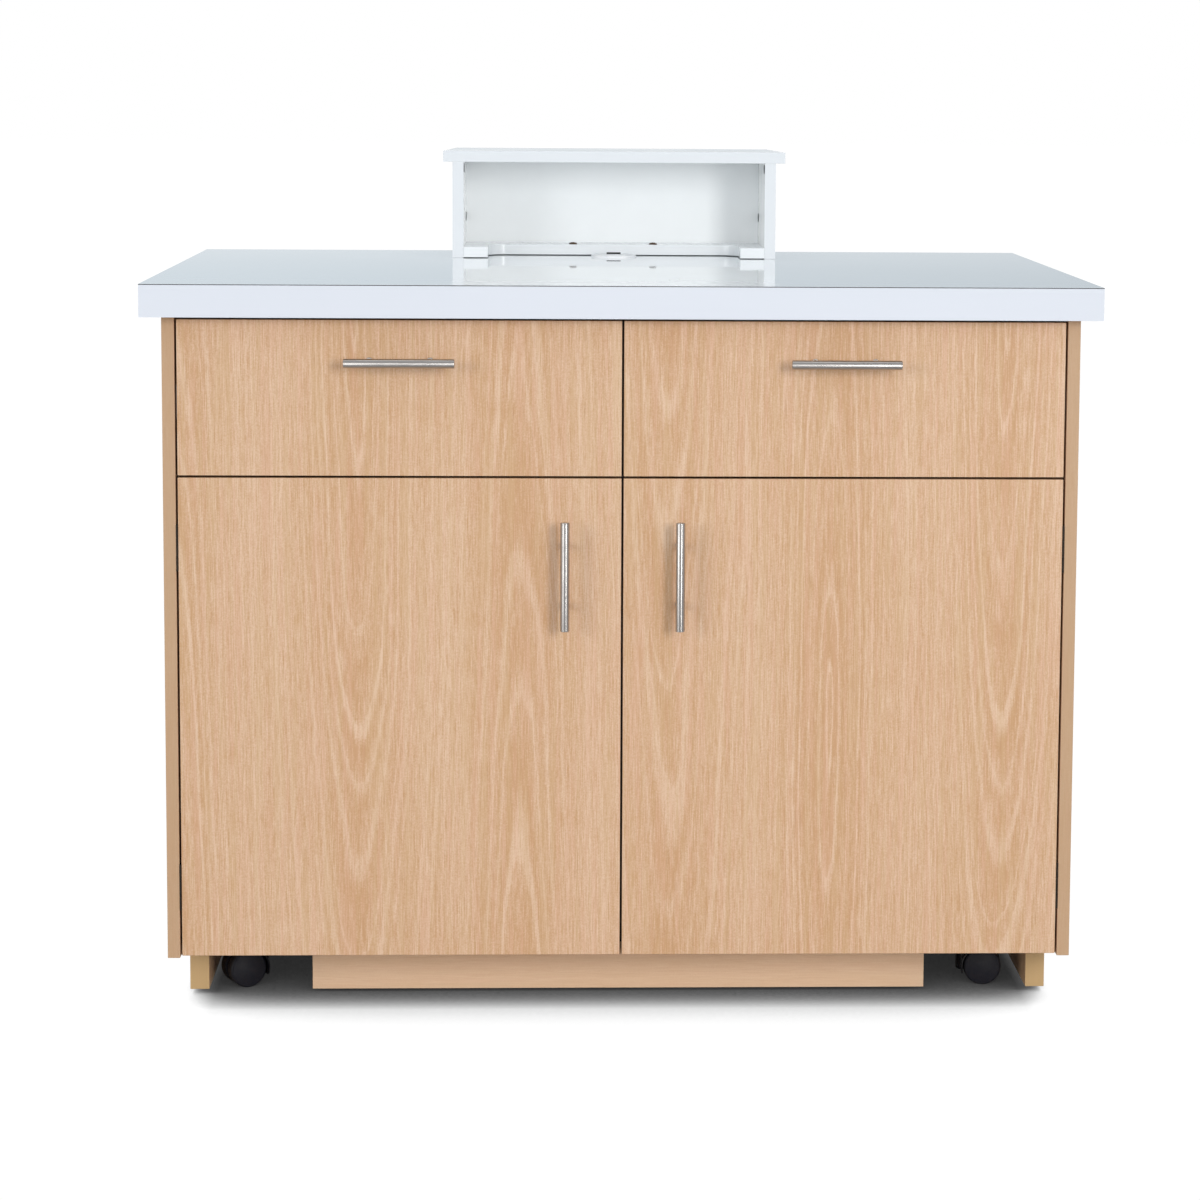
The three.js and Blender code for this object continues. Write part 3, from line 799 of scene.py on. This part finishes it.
def grommet_ring():
    """The tube in the worktop and its rounded flange on top."""
    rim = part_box("grommet_sleeve")[1].z
    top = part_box("worktop_sheet")[1].z
    tube = 29.7 * MM
    flange = 33.0 * MM
    foot = rim - TUBE_LENGTH
    bm = bmesh.new()
    add_lathe(bm, [(GROMMET_BORE, foot), (tube, foot), (tube, top), (flange, top),
                   (flange, rim - 1.6 * MM), (flange - 0.4 * MM, rim - 0.8 * MM),
                   (flange - 1.4 * MM, rim - 0.2 * MM), (flange - 2.4 * MM, rim),
                   (GROMMET_BORE + 0.4 * MM, rim), (GROMMET_BORE, rim - 0.4 * MM)],
              Matrix.Translation((0, GROMMET_Y, 0)), 96)
    ring = new_object("grommet_ring", bm, FINISH["white_plastic"])
    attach(ring, "cabinet")
    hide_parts("grommet_sleeve")


def grommet_cap():
    """The turning cap, with a fine groove inside its edge and a slot for cables, in which a white
    lip and the black brush behind it stand."""
    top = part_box("grommet_cap")[1].z
    groove = 24.0 * MM
    bm = bmesh.new()
    add_lathe(bm, [(0, top - 4.4 * MM), (CAP_RADIUS - 0.4 * MM, top - 4.4 * MM),
                   (CAP_RADIUS, top - 4.0 * MM), (CAP_RADIUS, top - 0.5 * MM),
                   (CAP_RADIUS - 0.4 * MM, top - 0.1 * MM), (CAP_RADIUS - 1.0 * MM, top),
                   (groove, top), (groove - 0.4 * MM, top - 0.4 * MM),
                   (groove - 1.0 * MM, top - 0.4 * MM), (groove - 1.4 * MM, top), (0, top)],
              Matrix.Translation((0, GROMMET_Y, 0)), 96)
    slot = bmesh.new()
    add_block(slot, (-SLOT_HALF, GROMMET_Y - 5.5 * MM, top - 10 * MM),
              (SLOT_HALF, GROMMET_Y + 5.5 * MM, top + 10 * MM))
    upright = [e for e in slot.edges if abs(e.verts[0].co.z - e.verts[1].co.z) > MM]
    bmesh.ops.bevel(slot, geom=upright, offset=1.5 * MM, segments=4, profile=0.5, affect="EDGES")
    cap = carve("grommet_turning_cap", bm, [slot], FINISH["white_plastic"])
    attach(cap, "grommet_cap")
    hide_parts("grommet_cap")
    for name, y_near, y_far, proud, finish, slot_name in (
            ("grommet_lip", -4.2, -2.6, 0.3, "white_plastic", "white_plastic"),
            ("grommet_brush", -2.4, 0.6, 2.8, "brush", "castor_black")):
        half = SLOT_HALF - 0.3 * MM
        bm = bmesh.new()
        add_block(bm, (-half, GROMMET_Y + y_near * MM, top - 4 * MM),
                  (half, GROMMET_Y + y_far * MM, top + proud * MM), 0.3 * MM)
        strip = new_object(name, bm, FINISH[finish])
        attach(strip, "grommet_cap")


grommet_ring()
grommet_cap()


# --------------------------------------------------------------------------
# Castors, drawn with the swivel axis at the origin and the wheels trailing towards +X. The stem
# and its socket don't turn with the drawing, as they are round.

TRAIL = 22 * MM
WHEEL_R = 25 * MM
HOOD_R = 29 * MM
HOOD_HALF = 24 * MM         # half of the hood's width, along the axle
CAVITY_R = 26.6 * MM        # the room for the wheels inside the hood
HOOD_END = 34 * MM          # the hood ends square, this far out on the trailing side
STEM_R = 5 * MM
AXLE = aim((0, 1, 0), (TRAIL, 0, WHEEL_R))
FAR = 100 * MM              # well past any castor's outside


def drum(radius, half, segments=96):
    bm = bmesh.new()
    add_lathe(bm, [(0, -half), (radius, -half), (radius, half), (0, half)], AXLE, segments)
    return bm


def rounded_drum(radius, half, corner):
    steps = 5
    rim = [(radius - corner + corner * math.sin(math.pi / 2 * i / steps),
            half - corner + corner * math.cos(math.pi / 2 * i / steps)) for i in range(steps + 1)]
    profile = [(0, half)] + rim + [(r, -h) for r, h in reversed(rim)] + [(0, -half)]
    bm = bmesh.new()
    add_lathe(bm, profile, AXLE, 96)
    return bm


def slab(low, high):
    bm = bmesh.new()
    add_block(bm, low, high)
    return bm


def melt(obj):
    """Bmesh of an object's mesh. The object itself goes."""
    bm = bmesh.new()
    bm.from_mesh(obj.data)
    bpy.data.objects.remove(obj)
    return bm


def castor_hub():
    """The upright boss that turns on the stem, with a groove under its top washer."""
    bm = bmesh.new()
    add_lathe(bm, [(0, 18 * MM), (11.5 * MM, 18 * MM), (13 * MM, 19.5 * MM), (13 * MM, 62 * MM),
                   (12 * MM, 63 * MM), (10.5 * MM, 63.2 * MM), (10.5 * MM, 64.2 * MM),
                   (12.2 * MM, 64.4 * MM), (12.2 * MM, 66 * MM), (0, 66 * MM)],
              Matrix.Identity(4), 64)
    return bm


def castor_housing():
    """The hood over the wheels with its hub, and the web between the wheels that holds the axle."""
    black = FINISH["castor"]
    past_end = ((HOOD_END, -FAR, -FAR), (FAR, FAR, FAR))
    outer = combined("UNION", "castor_outer", rounded_drum(HOOD_R, HOOD_HALF, 2.6 * MM),
                     [castor_hub()], black)
    arm = carve("castor_web_arm", rounded_drum(27.4 * MM, 4 * MM, 0.4 * MM),
                [slab((-FAR, -FAR, -FAR), (FAR, FAR, 17 * MM)), slab(*past_end)], black)
    shell = carve("castor_shell", melt(outer),
                  [drum(CAVITY_R, 60 * MM),
                   slab((-8 * MM, -FAR, -FAR), (FAR, FAR, 16 * MM)),
                   slab((-FAR, -FAR, -FAR), (FAR, FAR, 15 * MM)), slab(*past_end)], black)
    housing = combined("UNION", "castor_housing", melt(shell),
                       [melt(arm), rounded_drum(14 * MM, 4 * MM, 0.8 * MM)], black)
    return carve("castor_housing_bored", melt(housing), [drum(4.4 * MM, 60 * MM, 48)], black)


def wheel_profile():
    """Half of the wheel pair's section, as (radius, distance from the castor's middle)."""
    r = WHEEL_R / MM
    points = [(4.0, 4.6), (r - 3.2, 4.6), (r - 1.2, 5.0), (r - 0.25, 6.2), (r, 7.6),
              (r, 17.2), (r - 0.25, 18.4), (r - 1.0, 19.4), (r - 2.2, 20.0),
              (r - 2.4, 19.6), (r - 2.9, 19.6), (r - 3.1, 20.2)]
    # a low dome closes the wheel's outer face
    dome_r = r - 3.1
    steps = 8
    for i in range(1, steps + 1):
        part = i / steps
        points.append((dome_r * (1 - part), 20.2 + 3.8 * math.sin(part * math.pi / 2)))
    return [(a * MM, b * MM) for a, b in points]


def twin_wheels():
    """Both wheels of a castor and the axle between them, with grey-black treads."""
    half = wheel_profile()
    bm = bmesh.new()
    add_lathe(bm, [(r, -y) for r, y in reversed(half)] + half, AXLE, 96)
    wheels = new_object("castor_wheels", bm, FINISH["wheel"], 28)
    wheels.data.materials.append(FINISH["tread"])
    for polygon in wheels.data.polygons:
        reach = math.hypot(polygon.center.x - TRAIL, polygon.center.z - WHEEL_R)
        if reach > WHEEL_R - 1.6 * MM:
            polygon.material_index = 1
    return wheels


def mesh_of(obj, name):
    """An object's mesh, to be shared by several pieces. The object itself goes."""
    mesh = obj.data
    mesh.name = name
    bpy.data.objects.remove(obj)
    return mesh


def castor_stem(corner, foot):
    """Bright stem, and the flanged socket in the cabinet's bottom that it stands in."""
    bm = bmesh.new()
    add_lathe(bm, [(0, 64 * MM), (STEM_R, 64 * MM), (STEM_R, 80 * MM), (STEM_R - 1 * MM, 82 * MM),
                   (0, 82 * MM)], foot, 40)
    stem = new_object(f"{corner}_stem", bm, FINISH["screw"])
    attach(stem, f"{corner}_castor")
    bm = bmesh.new()
    bore = STEM_R + 0.4 * MM
    add_lathe(bm, [(bore, 67.4 * MM), (15 * MM, 67.4 * MM), (15.6 * MM, 67.9 * MM),
                   (15.6 * MM, 69 * MM), (bore, 69 * MM)], foot, 48)
    socket = new_object(f"{corner}_stem_socket", bm, FINISH["screw"])
    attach(socket, "cabinet")


HOUSING_MESH = mesh_of(castor_housing(), "castor_housing_shape")
WHEEL_MESH = mesh_of(twin_wheels(), "castor_wheel_shape")
JOINTS = {joint["name"]: joint for joint in frame["joints"]}


def castor(corner):
    """One castor, turned the way the frame's axle lies from its swivel axis."""
    swivel = Vector(JOINTS[f"{corner}_swivel"]["pos_m"])
    axle = Vector(JOINTS[f"{corner}_roll"]["pos_m"])
    heading = math.atan2(axle.y - swivel.y, axle.x - swivel.x)
    foot = Matrix.Translation((swivel.x, swivel.y, 0))
    for name, mesh, node_name, body, slot_name in (
            (f"{corner}_hood", HOUSING_MESH, f"{corner}_castor_housing", f"{corner}_castor",
             "castor_black"),
            (f"{corner}_twin_wheels", WHEEL_MESH, f"{corner}_castor_wheels", f"{corner}_wheels",
             "wheel_black")):
        piece = bpy.data.objects.new(name, mesh)
        bpy.context.scene.collection.objects.link(piece)
        piece.matrix_world = foot @ Matrix.Rotation(heading, 4, "Z")
        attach(piece, body)
        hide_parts(node_name)
    castor_stem(corner, foot)


for corner in ("front_left", "front_right", "rear_left", "rear_right"):
    castor(corner)


# --------------------------------------------------------------------------
# Floor, light and camera

SHADOW_REACH = 0.35     # how far from the table its painted contact shadow can spread
SHADOW_FADE = 0.53      # from here outwards, along X, the painted shadow is cleaned away
SHADOW_END = 0.61       # and from here on most of the painted shadow is gone
FLOOR_HALF = 60         # half the floor's side


def floor_material():
    """Matte white floor. The lens sees it blown out to white, as in a product shot, with a soft contact
    shadow painted in from an occlusion reading; light bounces off it as off any matte board."""
    t = Surface("floor_white")
    grain = t.noise(t.mapping((1, 1, 1)), 60.0, 2.0, 0.5)
    t.set(Base_Color=(0.7, 0.7, 0.7), Roughness=0.8, Specular_IOR_Level=0.1,
          Normal=t.bump(grain, 0.0002, 0.1))
    # Painted contact shadow: an occlusion reading, faded out along X past the plinth ends, darkens the glow
    # that the lens sees.
    contact = t.nodes.new("ShaderNodeAmbientOcclusion")
    contact.samples = 16
    contact.inputs["Distance"].default_value = SHADOW_REACH
    outwards = t.math("ABSOLUTE", t.separate(t.place)["X"])
    painted_shadow_openness = t.math("ADD", contact.outputs["AO"],
                      t.span(outwards, SHADOW_FADE, SHADOW_END, 0.0, 0.4))
    glow_with_painted_shadow = t.nodes.new("ShaderNodeEmission")
    t.links.new(t.ramp(painted_shadow_openness, (0.0, 0.012), (0.16, 0.10), (0.37, 0.47), (0.54, 0.79),
                       (0.61, 1.0)), glow_with_painted_shadow.inputs["Color"])
    glow_with_painted_shadow.inputs["Strength"].default_value = 1.02
    path = t.nodes.new("ShaderNodeLightPath")
    both = t.nodes.new("ShaderNodeMixShader")
    t.links.new(path.outputs["Is Camera Ray"], both.inputs[0])
    t.links.new(t.shader.outputs[0], both.inputs[1])
    t.links.new(glow_with_painted_shadow.outputs[0], both.inputs[2])
    t.links.new(both.outputs[0], t.output.inputs[0])
    return t.material


floor_bm = bmesh.new()
bmesh.ops.create_grid(floor_bm, x_segments=1, y_segments=1, size=FLOOR_HALF)
floor = new_object("studio_floor", floor_bm, floor_material())


def soft_light(name, place, target, width, height, watts, colour=(1, 1, 1)):
    """A rectangular softbox, aimed from a place at a target."""
    data = bpy.data.lights.new(name, "AREA")
    data.shape = "RECTANGLE"
    data.size, data.size_y = width, height
    data.energy = watts
    data.color = colour
    light = bpy.data.objects.new(name, data)
    bpy.context.scene.collection.objects.link(light)
    light.location = place
    light.rotation_mode = "QUATERNION"
    light.rotation_quaternion = (Vector(target) - Vector(place)).to_track_quat("-Z", "Y")
    return light


FRONT_Y = -0.43     # about where the drawer and door fronts stand

key = soft_light("key", (2.2, -5.0, 1.75), (0.0, FRONT_Y, 0.75), 1.0, 2.0, 94, (1.0, 0.985, 0.97))
fill = soft_light("fill", (-3.9, -4.3, 1.75), (-0.1, FRONT_Y, 0.75), 1.4, 2.0, 54, (0.98, 0.99, 1.0))
soft_light("overhead", (0, 0.2, 4.2), (0, 0.2, 0), 3.2, 3.2, 30)

BARS = [bpy.data.objects[f"{side}_{part}_bar"] for side in SIDES for part in ("drawer", "door")]


def link_light(lamp, pieces, state):
    """Make a lamp light only these pieces (INCLUDE), or everything else (EXCLUDE)."""
    group = bpy.data.collections.new(lamp.name + "_" + state.lower())
    for piece in pieces:
        group.objects.link(piece)
    for entry in group.collection_objects:
        entry.light_linking.link_state = state
    lamp.light_linking.receiver_collection = group


# The two front lights leave the floor out, so they throw no long shadows across it. The four
# handles have low, tall softboxes of their own, which draw an even line of light down each bar.
handles_middle = (0.0, FRONT_Y, 0.63)
strip_box = soft_light("handle_strip", (0.85, -2.03, 0.63), handles_middle, 0.48, 1.2, 13)
broad_box = soft_light("handle_broad", (-1.23, -1.61, 0.63), handles_middle, 1.1, 1.2, 11)
for lamp in (key, fill):
    link_light(lamp, [floor] + BARS, "EXCLUDE")
for lamp in (strip_box, broad_box):
    link_light(lamp, BARS, "INCLUDE")
    lamp.visible_camera = False


def studio_world():
    """A white backdrop to the lens. What the gloss mirrors is white at the horizon, then a soft
    grey-blue room, a little brighter on the left, and a pale wall on the front side."""
    world = bpy.data.worlds.new("studio")
    bpy.context.scene.world = world
    world.use_nodes = True
    t = Tree(world.node_tree)
    x, y, z = t.separate(t.coord.outputs["Generated"])
    room = t.ramp(z, (0.030, 1.0), (0.055, (0.62, 0.70, 0.76)), (0.35, (0.56, 0.62, 0.66)),
                  (1.0, (0.60, 0.62, 0.64)))
    shade = t.math("MULTIPLY", t.span(x, -0.16, 0.16, 0.0, 0.42), t.span(z, 0.03, 0.055, 0.0, 1.0))
    room = t.mix(shade, room, (0.30, 0.33, 0.36))
    wall = t.ramp(z, (0.0, 1.0), (0.10, 1.25), (0.20, 0.66), (1.0, (0.60, 0.62, 0.64)))
    around = t.mix(t.span(y, 0.2, -0.5, 0.0, 1.0), room, wall)
    path = t.nodes.new("ShaderNodeLightPath")
    glow = t.nodes.new("ShaderNodeBackground")
    t.feed(glow.inputs["Color"], t.mix(path.outputs["Is Camera Ray"], around, (1.0, 1.0, 1.0)))
    out = t.nodes.new("ShaderNodeOutputWorld")
    t.links.new(glow.outputs[0], out.inputs[0])


studio_world()

# The lens stands where it makes the table's corners fall as they do in the photograph. The shifts
# crop the picture off-centre, as the photograph is.
EYE = Vector((-0.0944, -4.9681, 1.2013))
YAW, PITCH, ROLL = math.radians(2.277), math.radians(6.725), math.radians(-0.381)
forward = Vector((math.sin(YAW) * math.cos(PITCH), math.cos(YAW) * math.cos(PITCH),
                  -math.sin(PITCH)))
level = Vector((math.cos(YAW), -math.sin(YAW), 0))
below = forward.cross(level)
right = level * math.cos(ROLL) + below * math.sin(ROLL)
up = level * math.sin(ROLL) - below * math.cos(ROLL)
camera_data = bpy.data.cameras.new("camera")
camera_data.sensor_width = 36
camera_data.lens = 107.45
camera_data.shift_x = -0.075
camera_data.shift_y = -0.0833
camera_data.clip_end = 400      # past the far edge of the floor
camera = bpy.data.objects.new("camera", camera_data)
bpy.context.scene.collection.objects.link(camera)
camera.matrix_world = Matrix.Translation(EYE) @ Matrix(
    (right, up, -forward)).transposed().to_4x4()
bpy.context.scene.camera = camera

scene = bpy.context.scene
scene.view_settings.view_transform = "Standard"
scene.view_settings.look = "None"
scene.view_settings.exposure = 0.0
scene.view_settings.gamma = 1.0
